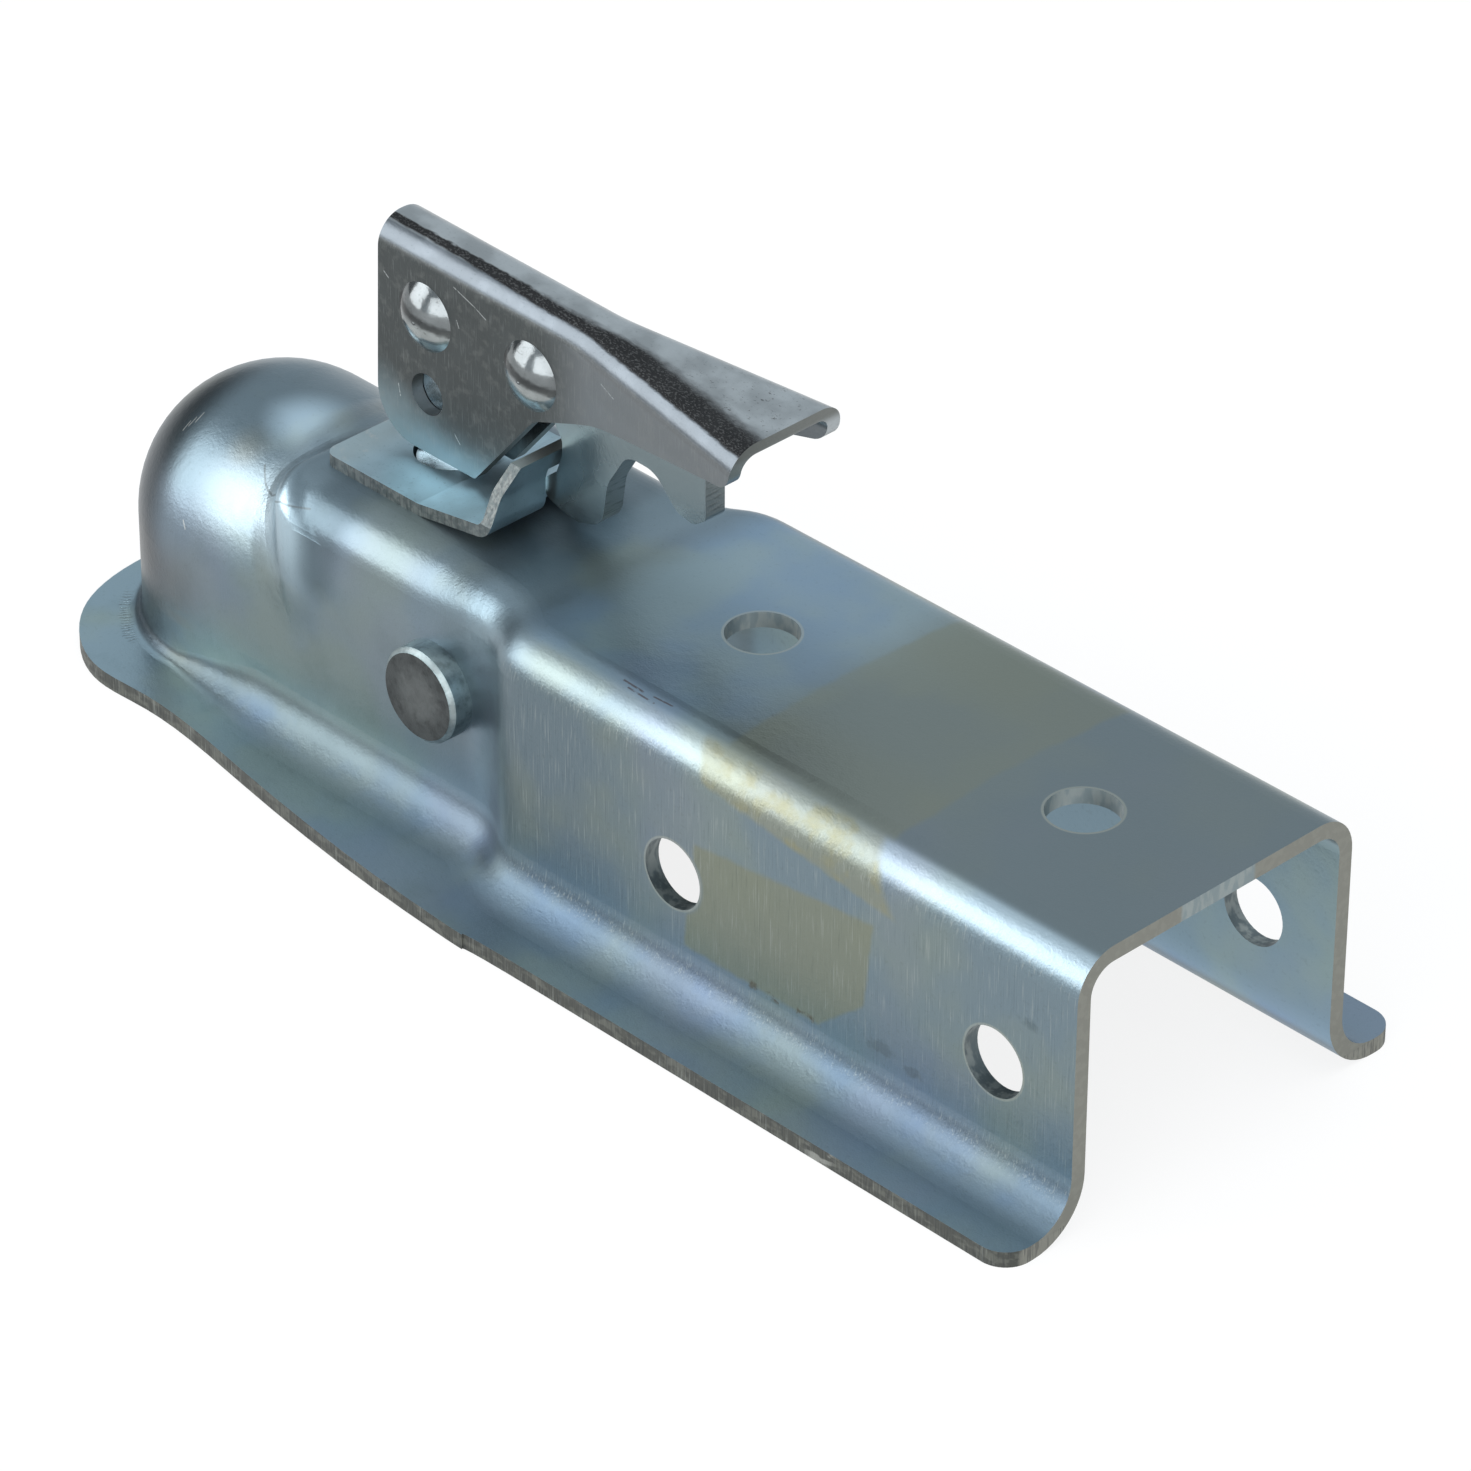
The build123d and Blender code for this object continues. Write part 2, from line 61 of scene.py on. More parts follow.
class Bench:
    """The node tree of one finish."""

    def __init__(self, tree):
        self.tree = tree
        tree.nodes.clear()
        self.kept = {}

    def node(self, kind, settings=None, sockets=None):
        made = self.tree.nodes.new(kind)
        for name, value in (settings or {}).items():
            setattr(made, name, value)
        for name, value in (sockets or {}).items():
            if isinstance(value, Wire):
                self.tree.links.new(value.socket, made.inputs[name])
            else:
                made.inputs[name].default_value = value
        return made

    def wire(self, made, output=0):
        return Wire(self, made.outputs[output])

    def math(self, operation, *terms):
        made = self.node("ShaderNodeMath", {"operation": operation}, dict(enumerate(terms)))
        return self.wire(made)

    def where(self):
        """x, y and z in millimetres and the surface's direction along each, in the part's frame."""
        if "where" not in self.kept:
            place = self.node("ShaderNodeTexCoord")
            scaled = self.node("ShaderNodeVectorMath", {"operation": "SCALE"}, {
                0: self.wire(place, "Object"), "Scale": 1000.0})
            self.kept["point"] = self.wire(scaled)
            spot = self.node("ShaderNodeSeparateXYZ", None, {0: self.kept["point"]})
            facing = self.node("ShaderNodeSeparateXYZ", None, {0: self.wire(place, "Normal")})
            self.kept["where"] = [self.wire(n, i) for n in (spot, facing) for i in range(3)]
        return self.kept["where"]

    def grain(self, size, detail=2.0, stretch=(1, 1, 1), shift=0.0, harsh=0.5):
        """Noise with bumps about size millimetres wide, stretched along each axis."""
        self.where()
        pulled = self.node("ShaderNodeMapping", {"vector_type": "POINT"}, {
            "Vector": self.kept["point"],
            "Location": (shift, shift * 0.7, -shift * 0.4),
            "Scale": tuple(1.0 / (size * s) for s in stretch)})
        noise = self.node("ShaderNodeTexNoise", {"noise_dimensions": "3D"}, {
            "Vector": self.wire(pulled), "Scale": 1.0, "Detail": detail, "Roughness": harsh})
        return self.wire(noise)

    def drift(self, amount, size, detail=2.0, **how):
        """Noise about zero, as wide as amount."""
        return (self.grain(size, detail, **how) - 0.5) * amount

    def spots(self, low, high, size, detail=2.0, **how):
        """Patches of noise: 1 where it is above high, 0 where it is below low."""
        return self.ease(self.grain(size, detail, **how), low, high)

    def ease(self, value, low, high):
        """0 below low and 1 above high, smooth between them."""
        return self.wire(self.node("ShaderNodeMapRange", {"interpolation_type": "SMOOTHSTEP"}, {
            "Value": value, "From Min": low, "From Max": high, "To Min": 0.0, "To Max": 1.0}))

    def band(self, value, low, high, soft):
        """1 between low and high, eased over twice soft at either end."""
        rising = self.ease(value, low - soft, low + soft)
        return rising * (1 - self.ease(value, high - soft, high + soft))

    def tint(self, amount, under, over):
        """The colour under, turned into the colour over by amount."""
        mixed = self.node("ShaderNodeMix", {"data_type": "RGBA", "blend_type": "MIX"}, {
            0: amount, 6: under, 7: over})
        return self.wire(mixed, 2)

    def stain(self, amount, under, over):
        """The colour under, multiplied by the colour over by amount."""
        mixed = self.node("ShaderNodeMix", {"data_type": "RGBA", "blend_type": "MULTIPLY"}, {
            0: amount, 6: under, 7: over})
        return self.wire(mixed, 2)

    def stains(self, colour, rows):
        """One stain after another. Each row is an amount and a factor on the colour."""
        for amount, factor in rows:
            colour = self.stain(amount, colour, (*factor, 1))
        return colour

    def away(self, *pairs):
        """The distance from a point, given as pairs of a coordinate and the point's value of it."""
        total = None
        for value, centre in pairs:
            off = value - centre if centre else value
            total = off * off if total is None else total + off * off
        return total.root()

    def most(self, wires):
        """The largest of the wires."""
        top = wires[0]
        for other in wires[1:]:
            top = top.either(other)
        return top

    def path(self, u, v, points, width):
        """A thin line through the points."""
        return self.most([self.stroke(u, v, *ends, width) for ends in zip(points, points[1:])])

    def stroke(self, u, v, start, end, width):
        """A thin line between two points of the plane that u and v span."""
        run = (end[0] - start[0], end[1] - start[1])
        length2 = run[0] ** 2 + run[1] ** 2
        along = ((u - start[0]) * run[0] + (v - start[1]) * run[1]) / length2
        along = self.math("MAXIMUM", self.math("MINIMUM", along, 1.0), 0.0)
        off_u = u - (along * run[0] + start[0])
        off_v = v - (along * run[1] + start[1])
        away = (off_u * off_u + off_v * off_v).root()
        return 1 - self.ease(away, width * 0.3, width)

    def height(self, relief, strength=1.0):
        """Relief in millimetres, as a bump."""
        return self.wire(self.node("ShaderNodeBump", None, {
            "Height": relief, "Strength": strength, "Distance": 0.001}))

    def metal(self, colour, rough, relief, metallic=0.95):
        shader = self.node("ShaderNodeBsdfPrincipled", None, {
            "Base Color": colour, "Roughness": rough, "Metallic": metallic,
            "Normal": self.height(relief)})
        out = self.node("ShaderNodeOutputMaterial")
        self.tree.links.new(shader.outputs[0], out.inputs["Surface"])


def finish_named(name):
    material = bpy.data.materials.new(name)
    material.use_nodes = True
    return material, Bench(material.node_tree)


def paint(material, *names):
    for name in names:
        slots = nodes[name].data.materials
        slots.clear()
        slots.append(material)


# Zinc plating

COOL = (0.165, 0.22, 0.252, 1)
GREEN = (0.2, 0.245, 0.232, 1)
VIOLET = (0.185, 0.224, 0.272, 1)
WARM = (0.21, 0.222, 0.16, 1)
STRAW = (0.25, 0.25, 0.165, 1)
SHEARED = (0.085, 0.088, 0.08, 1)
SOOT = (0.055, 0.06, 0.062, 1)
REAR_ROOF = (0.16, 0.195, 0.205, 1)
BURNT = (0.12, 0.105, 0.075, 1)
BROWN = (0.095, 0.075, 0.075, 1)
PRESS_LINE = (0.09, 0.095, 0.09, 1)
WRINKLE = (0.08, 0.085, 0.082, 1)
SCRATCH = (0.5, 0.52, 0.5, 1)
WORN_EDGE = (0.24, 0.25, 0.22, 1)
TAIL_EDGE = (0.34, 0.34, 0.3, 1)
ROOF_HOLE = (0.24, 0.3, 0.32, 1)
WALL_HOLE = (0.13, 0.165, 0.18, 1)
BRIGHT_GRAIN = (0.4, 0.43, 0.41, 1)
HOLE_LIP = (0.42, 0.43, 0.36, 1)
SCUFFED = (0.36, 0.37, 0.35, 1)
BRUSHED = (0.4, 0.42, 0.42, 1)

# Places and sizes in millimetres, in the part's frame
CLOUDS = 34.0
TOP_HOLES_X = (218.0, 135.45)
WALL_HOLES_X = (231.15, 148.6)
WALL_HOLES_Z = 28.3
HOLE_EDGE = 7.2
PIN = (76.9, 33.1)
BOLT_X = 50.0
BALL_Z = 27.5
BALL_SEAT = 26.1
VALLEY_X = 35.0
BODY_FLAT = 18.3
BODY_CORNER = 11.0
SHOULDER = (26.7, 56.7)
THREAD_PITCH = 1.5

FULL_TURN = 6.2831853
PI = 3.14159

# Marks on the housing, and the line of painted shade behind the dome's valley, as points in x and
# z, or in x and y for the rub
CREASE = ((15.1, 50.7), (17.9, 48.7), (19.3, 48.1), (21.0, 47.8),
          (31.0, 53.6), (35.0, 54.5), (39.5, 55.6))
VALLEY_SHADE_LINE = ((44.5, 58.0), (41.5, 44.0))
NICKS = (((-8.8, 48.6), (-8.5, 50.0)), ((-8.0, 49.6), (-7.6, 50.9)),
         ((-6.9, 50.6), (-6.6, 51.9)), ((1.6, 36.4), (2.6, 35.0)))
RUB = (((128.9, -29.4), (134.4, -29.6), 0.3), ((136.9, -29.4), (141.6, -29.2), 0.26),
       ((131.0, -30.3), (138.0, -30.5), 0.26))
# Where the foot's bend swells: x and the relief there
FOOT_SWELLS = ((24.0, -0.23), (0.0, 0.2))
# Smudges on the near wall: x, z, length and height
SMUDGES = ((203.0, 17.0, 4.5, 2.2), (211.0, 15.5, 3.5, 1.6), (240.0, 41.0, 3.0, 1.6))
# Scratches on the lever's cheek, in x and z
LEVER_MARKS = (((58.4, 104.0), (64.2, 102.0)), ((64.6, 101.8), (67.2, 100.6)),
               ((59.0, 97.0), (59.6, 95.6)), ((57.8, 71.5), (59.3, 69.8)),
               ((42.0, 76.0), (42.5, 73.5)), ((100.0, 101.0), (104.0, 99.8)))


def plating(b):
    """The uneven colour of zinc: cool grey with greenish and violet clouds."""
    green = b.spots(0.44, 0.6, CLOUDS, 3.0)
    violet = b.spots(0.52, 0.68, CLOUDS * 1.3, 2.0, shift=17.0)
    speck = b.spots(0.62, 0.75, 0.9, 1.0, shift=5.0)
    colour = b.tint(green * 0.8, COOL, GREEN)
    colour = b.tint(violet * 0.6, colour, VIOLET)
    return b.stain(speck * 0.25, colour, (0.75, 0.74, 0.7, 1))


def pebble(b, shift=0.0):
    """The fine pebbled relief that rolled and plated sheet has, in millimetres."""
    return b.drift(0.045, 1.3, 2.0, shift=shift) + b.drift(0.028, 0.42, 1.0, shift=shift + 3)


def sheared(b, edge, along, shift=0.0):
    """Fine tear lines across a cut edge."""
    lines = b.grain(0.35, 2.0, stretch=along, shift=shift)
    return edge * (lines - 0.5) * 0.09


def housing_finish():
    material, b = finish_named("zinc_pressed_sheet")
    x, y, z, nx, ny, nz = b.where()
    colour = plating(b)
    wander = b.drift(5.0, 9.0, 3.0, shift=2.0)
    ragged = b.drift(2.2, 2.2, 3.0, shift=8.0)
    side = b.ease(-1 * ny, 0.75, 0.95) * b.ease(-1 * y, 34.0, 35.0)
    flat = b.ease(nz, 0.85, 0.97)
    top = flat * b.ease(z, 57.0, 58.5)

    # The housing's colour scaled area by area. The rows for the prow, the foot's bend, the step,
    # the roof's middle, the far wall's inside and the near bend are painted shade and painted
    # highlights
    body = 1 - b.ease(x + wander, 88.0, 118.0)
    flange = flat * (1 - b.ease(z, 3.5, 5.0))
    foot_bend = b.ease(z, 3.0, 3.3) * (1 - b.ease(z, 7.0, 16.0)) * b.ease(x, 5.0, 50.0)
    # Painted shade: the front of the dome and the nose darkened on the near side
    prow = b.ease(-1 * nx, 0.04, 0.4) * (1 - b.ease(-1 * nx, 0.5, 0.95) * 0.75)
    prow = prow * b.ease(-1 * y, -10.0, 14.0)
    prow = prow * b.ease(z, 8.0, 28.0) * (1 - b.ease(x, -2.0, 8.0))
    nose = (1 - b.ease(x, -4.0, 12.0)) * (1 - b.ease(z, 22.0, 34.0)) * b.ease(z, 3.5, 6.0)
    fore_wall = side * (1 - b.ease(x, 115.0, 165.0)) * b.ease(x, 98.0, 106.0)
    fore_top = top * b.band(x + wander, 104.0, 156.0, 7.0)
    low_body = b.band(z, 8.0, 15.0, 3.0) * body * b.ease(x, 20.0, 50.0)
    # Painted shade: the highlight along the lower foot's bend dimmed
    foot_highlight_dimmed = b.band(nz, 0.2, 0.82, 0.12) * (1 - b.ease(z, 10.0, 14.0))
    # Painted highlight: the step between the front body and the channel lightened, up its wall and
    # bend
    step = b.band(x, 86.0, 99.0, 3.0) * b.ease(z, 12.0, 20.0)
    # Painted sheen: the roof lightened in a band along its middle, more to the far side
    sheen = top * b.band(x, 102.0, 165.0, 16.0) * b.ease(y, -6.0, 18.0)
    # Painted light: the inside face of the far wall lightened
    inner = b.ease(-1 * ny, 0.85, 0.95) * b.ease(y, 28.0, 30.0)
    # Painted highlight: the near bend lightened from the step back, more towards the tail
    near_bend = b.ease(-1 * ny, 0.3, 0.5) * (1 - b.ease(-1 * ny, 0.85, 0.97))
    near_bend = near_bend * b.ease(nz, 0.15, 0.4)
    near_bend = near_bend * b.ease(z, 48.0, 52.0) * b.ease(x, 98.0, 108.0)
    bend_shine = near_bend * (0.25 + b.ease(x, 120.0, 155.0) * 0.35 + b.ease(x, 190.0, 225.0) * 0.3)
    colour = b.stains(colour, (
        (body * 0.4, (0.8, 0.82, 0.84)),
        (foot_bend, (1.15, 1.18, 1.25)),
        (flange * (1 - b.ease(x, 0.0, 40.0)), (1.75, 1.8, 1.8)),
        (prow, (0.3, 0.3, 0.295)),
        (nose, (0.8, 0.72, 0.66)),
        (fore_wall, (0.8, 0.8, 0.8)),
        (fore_top, (1.15, 1.25, 1.4)),
        (low_body, (1.15, 1.15, 1.14)),
        (foot_highlight_dimmed, (0.6, 0.61, 0.63)),
        (step, (1.25, 1.25, 1.25)),
        (sheen, (1.3, 1.28, 1.3)),
        (inner, (1.3, 1.42, 1.5)),
        (bend_shine, (2.1, 2.0, 1.98))))
    rear = top * b.ease(x + wander * 2, 100.0, 235.0)
    colour = b.tint(rear * 0.75, colour, REAR_ROOF)

    # Yellow passivation: a wide patch on the roof, a bright one on the bend, one on the near wall
    roof_patch = top * b.band(x + wander * 0.4 + ragged * 0.3 - abs(y) * 0.06, 156.0, 199.0, 0.9)
    roof_patch = roof_patch * (0.75 + b.ease(abs(y), 8.0, 20.0) * 0.25)
    bend_patch = b.band(x + wander * 0.35 + ragged * 0.4 + (z - 55) * 0.6, 154.5, 200.5, 1.4)
    bend_patch = bend_patch * (1 - top) * b.ease(-1 * y, 24.0, 27.0)
    bend_patch = bend_patch * b.ease(z + (x - 155.0) * 0.12 + ragged * 0.5, 51.4, 53.0)
    high = 38.3 + (x - 160.0) * 0.11
    low = 14.0 + b.math("MAXIMUM", x - 187.0, 0.0) * 0.85
    wall_patch = side * b.band(x + ragged * 0.5 - (z - 20.0) * 0.12, 152.2, 198.0, 0.6)
    wall_patch = wall_patch * b.ease(z + wander * 0.12 + ragged * 0.4 - low, -0.7, 0.7)
    wall_patch = wall_patch * (1 - b.ease(z + wander * 0.2 + ragged * 0.4 - high, -0.8, 0.8))
    hole = b.away((x, WALL_HOLES_X[1]), (z, WALL_HOLES_Z))
    wall_patch = wall_patch * b.ease(hole, HOLE_EDGE, 8.6)
    patch = (roof_patch * 0.55).either(wall_patch * 0.85)
    colour = b.tint(patch * 0.9, colour, WARM)
    clouded = 0.55 + b.spots(0.4, 0.65, 5.0, 3.0, shift=44.0) * 0.35
    colour = b.tint(bend_patch * clouded, colour, STRAW)
    burnt = b.spots(0.52, 0.62, 2.0, 3.0, shift=45.0) * b.band(z - low, -0.9, 0.9, 0.5) * side
    burnt = burnt * b.band(x, 168.0, 188.0, 2.0)
    colour = b.tint(burnt * 0.8, colour, BURNT)

    # The dome's warm blush, painted highlights on its crown and top, and its valley with a painted
    # highlight in front and painted shade behind, then grime on the body and a cooler foot
    blush = 1 - b.ease(b.away((x, 8.5), (y, -15.5), (z, 50.5)), 1.0, 6.5)
    # Painted shade behind the dome's valley
    valley_shade = b.stroke(x, z, *VALLEY_SHADE_LINE, 9.0) * (1 - b.ease(y, -24.0, -12.0)) * b.ease(x, 32.0, 40.0)
    out = b.math("MAXIMUM", abs(y) - BODY_FLAT, 0.0)
    valley_x = VALLEY_X - b.math("MAXIMUM", BODY_CORNER ** 2 - out * out, 0.0).root()
    # Painted highlight along the valley behind the dome
    valley_highlight = 1 - b.ease(abs(x - valley_x + 0.5), 0.0, 8.0)
    valley_highlight = valley_highlight * b.ease(z, 30.0, 52.0) * (1 - b.ease(y, -16.0, -8.0))
    # Painted highlights on the dome's crown and top
    crown = 1 - b.ease(b.away((x, 14.0), (y, -24.0), (z, 45.0)), 2.0, 15.0)
    upper = 1 - b.ease(b.away((x, 15.0), (y, -7.0)) + abs(z - 56.0), 1.0, 13.0)
    grimy = b.spots(0.5, 0.72, 14.0, 4.0, shift=31.0, harsh=0.6) * (1 - b.ease(x, 95.0, 118.0))
    foot = b.band(z, 3.2, 9.0, 2.0) * (1 - b.ease(nz, 0.9, 0.99))
    foot = foot * b.spots(0.42, 0.6, 11.0, 3.0, shift=12.0)
    colour = b.stains(colour, (
        (blush * 0.7, (1.15, 0.98, 0.82)),
        (valley_shade * 0.6, (0.5, 0.52, 0.53)),
        (valley_highlight, (2.5, 2.4, 2.35)),
        (crown, (1.75, 1.62, 1.55)),
        (upper, (3.0, 2.9, 2.9)),
        (grimy * 0.3, (0.66, 0.7, 0.68)),
        (foot * 0.4, (0.8, 0.9, 1.1))))

    # A brown rub on the edge of the roof's bend
    rub = b.most([b.stroke(x, y, *row) for row in RUB])
    rub = rub * b.ease(z, 56.0, 57.0) * b.spots(0.4, 0.52, 0.7, 3.0, stretch=(3, 1, 1), shift=4.0)
    colour = b.tint(rub * 0.8, colour, BROWN)

    # Dark smudges on the near wall
    smudges = []
    for smudge_x, smudge_z, long, tall in SMUDGES:
        reach = b.away(((x - smudge_x) / long, 0.0), ((z - smudge_z) / tall, 0.0))
        smudges.append(1 - b.ease(reach + b.drift(1.6, 1.6, 3.0, shift=smudge_x), 0.35, 1.0))
    smudge = b.most(smudges) * side
    colour = b.stain(smudge * 0.42, colour, (0.45, 0.47, 0.46, 1))

    # The press line on the dome and the tool marks beside it
    crease = b.path(x, z, CREASE, 0.26) * (1 - b.ease(y, -16.0, -14.0))
    nicks = b.most([b.stroke(x, z, *ends, 0.22) for ends in NICKS]) * (1 - b.ease(y, -13.0, -11.0))
    colour = b.tint(crease * 0.5, colour, PRESS_LINE)
    colour = b.tint(nicks * 0.6, colour, SCRATCH)

    # Ripples that the press left where the front of the flange turns up
    ring = b.away((x, 0.0), (y, 0.0))
    turn = b.math("ARCTAN2", y, x)
    ripple = b.band(ring + b.drift(2.0, 2.0, 2.0, shift=9.0), 32.2, 34.0, 0.7)
    ripple = ripple * b.band(turn, -2.5, -1.95, 0.06)
    ripple = ripple * (1 - b.ease(z, 6.0, 8.0))
    wrinkle = b.math("PINGPONG", turn * 34.0 + b.grain(2.5, 3.0, shift=29.0) * 1.6, 0.5) * 2.0
    wrinkle = b.ease(wrinkle, 0.55, 0.8)
    colour = b.tint(ripple * wrinkle * 0.5, colour, WRINKLE)

    # Cut edges: the flange's rim, the tail's end and the walls of the holes
    rim = (1 - b.ease(z, 3.3, 3.6)) * (1 - b.ease(abs(nz), 0.35, 0.6))
    tail = b.ease(nx, 0.8, 0.95) * b.ease(x, 250.4, 250.8)
    top_holes = (1 - b.ease(abs(nz), 0.2, 0.5)) * b.ease(z, 55.4, 55.8)
    top_holes = top_holes * (1 - b.ease(abs(y), 9.0, 10.0))
    wall_holes = (1 - b.ease(abs(ny), 0.2, 0.5)) * b.ease(abs(y), 32.2, 32.5)
    wall_holes = wall_holes * b.band(z, 18.0, 38.0, 1.0)
    wall_holes = wall_holes * b.ease(x, 138.0, 140.0) * (1 - tail)
    cut = rim.either(tail).either(top_holes).either(wall_holes)
    worn = b.spots(0.45, 0.6, 1.6, 3.0, stretch=(2.5, 1, 1), shift=6.0)
    colour = b.tint(cut * 0.97, colour, SHEARED)
    colour = b.tint(cut * worn * 0.3, colour, WORN_EDGE)
    # Painted light: the tail's cut end lightened over its dark cut-edge colour
    colour = b.tint(tail * 0.6, colour, TAIL_EDGE)
    holes = top_holes.either(wall_holes)
    streaks = b.spots(0.4, 0.6, 1.6, 2.0, stretch=(1, 1, 3), shift=16.0)
    colour = b.tint(top_holes * 0.85, colour, ROOF_HOLE)
    colour = b.tint(wall_holes * 0.8, colour, WALL_HOLE)
    colour = b.tint(holes * streaks * 0.4, colour, BRIGHT_GRAIN)
    for hole_x in TOP_HOLES_X:
        lip = b.band(b.away((x, hole_x), (y, 0.0)), HOLE_EDGE, 7.75, 0.15) * top
        colour = b.tint(lip * 0.4, colour, HOLE_LIP)
    for hole_x in WALL_HOLES_X:
        lip = b.band(b.away((x, hole_x), (z, WALL_HOLES_Z)), HOLE_EDGE, 7.7, 0.15) * side
        colour = b.tint(lip * 0.35, colour, HOLE_LIP)
    tears = b.spots(0.5, 0.66, 0.4, 2.0, stretch=(1, 1, 12), shift=1.0)
    colour = b.tint(rim * tears * 0.5, colour, SOOT)
    scuff = b.band(x + ragged, 201.0, 207.0, 1.5) * rim * b.ease(-1 * y, 45.0, 47.0) * worn
    colour = b.tint(scuff * 0.6, colour, SCUFFED)

    # The drawn grain of the near wall, then how rough and uneven the sheet is
    drawn = b.grain(0.35, 2.0, stretch=(1, 1, 26), shift=11.0)
    fine = b.ease(drawn, 0.56, 0.72) * side
    colour = b.tint(fine * 0.3, colour, BRIGHT_GRAIN)
    thin = b.ease(drawn, 0.3, 0.42)
    colour = b.stain(side * (1 - thin) * 0.5, colour, (0.7, 0.72, 0.74, 1))
    rough = b.grain(16.0, 3.0, shift=21.0) * 0.12 + 0.27
    fore_roof = top * (1 - b.ease(x, 100.0, 130.0))
    rough = rough + cut * 0.2 + patch * 0.05 + smudge * 0.12 + foot_bend * 0.1 + fore_roof * 0.15
    rough = rough + near_bend * 0.09
    relief = pebble(b) * (1 - cut) + side * (drawn - 0.5) * 0.045 + sheared(b, rim, (1, 1, 14))
    relief = relief - ripple * wrinkle * 0.12

    # The press drew the body's shoulder and the valley behind the dome softer than two plain
    # bends, and the foot's bend swells evenly from the nose
    shoulder = 1 - b.ease(b.away((abs(y), SHOULDER[0]), (z, SHOULDER[1])), 0.0, 21.0)
    shoulder = shoulder * b.band(x, 30.0, 82.0, 9.0)
    valley = (1 - b.ease(abs(x - valley_x - 1.0), 0.0, 9.0)) * b.ease(z, 25.0, 38.0)
    bend = b.ease(z, 3.3, 3.8) * (1 - b.ease(z, 12.0, 15.0))
    for swell_x, swell in FOOT_SWELLS:
        near = b.math("MAXIMUM", 1 - abs(x - swell_x) / 12.0, 0.0)
        relief = relief + near * near * bend * swell
    relief = relief - shoulder * 2.2 + valley * 1.3
    relief = relief + b.drift(0.05, 7.0, 2.0, shift=14.0)
    b.metal(colour, rough, relief)
    return material


def small_zinc(name, base, shift, clouds=9.0):
    """Plating on the small pieces: one tone, lightly clouded, with fine specks."""
    material, b = finish_named(name)
    soft = b.spots(0.38, 0.64, clouds, 3.0, shift=shift)
    speck = b.spots(0.6, 0.74, 0.6, 2.0, shift=shift + 9)
    colour = b.tint(soft, (*[c * 0.84 for c in base], 1), (*[min(1, c * 1.14) for c in base], 1))
    colour = b.stain(speck * 0.4, colour, (0.6, 0.62, 0.62, 1))
    return material, b, colour, soft


# The lever's tones
CHEEK = (0.05, 0.057, 0.057, 1)
LOW_CHEEK = (0.22, 0.3, 0.33, 1)
REAR_CHEEK = (0.21, 0.23, 0.245, 1)
DARK_BEND_REFLECTION = (0.018, 0.018, 0.019, 1)
SEAM = (0.08, 0.085, 0.085, 1)
CHEEK_MOTTLE = (0.22, 0.23, 0.22, 1)
CHEEK_SCRATCH = (0.5, 0.53, 0.53, 1)
CHEEK_GRAIN = (0.26, 0.28, 0.28, 1)
LEVER_EDGE = (0.16, 0.165, 0.15, 1)


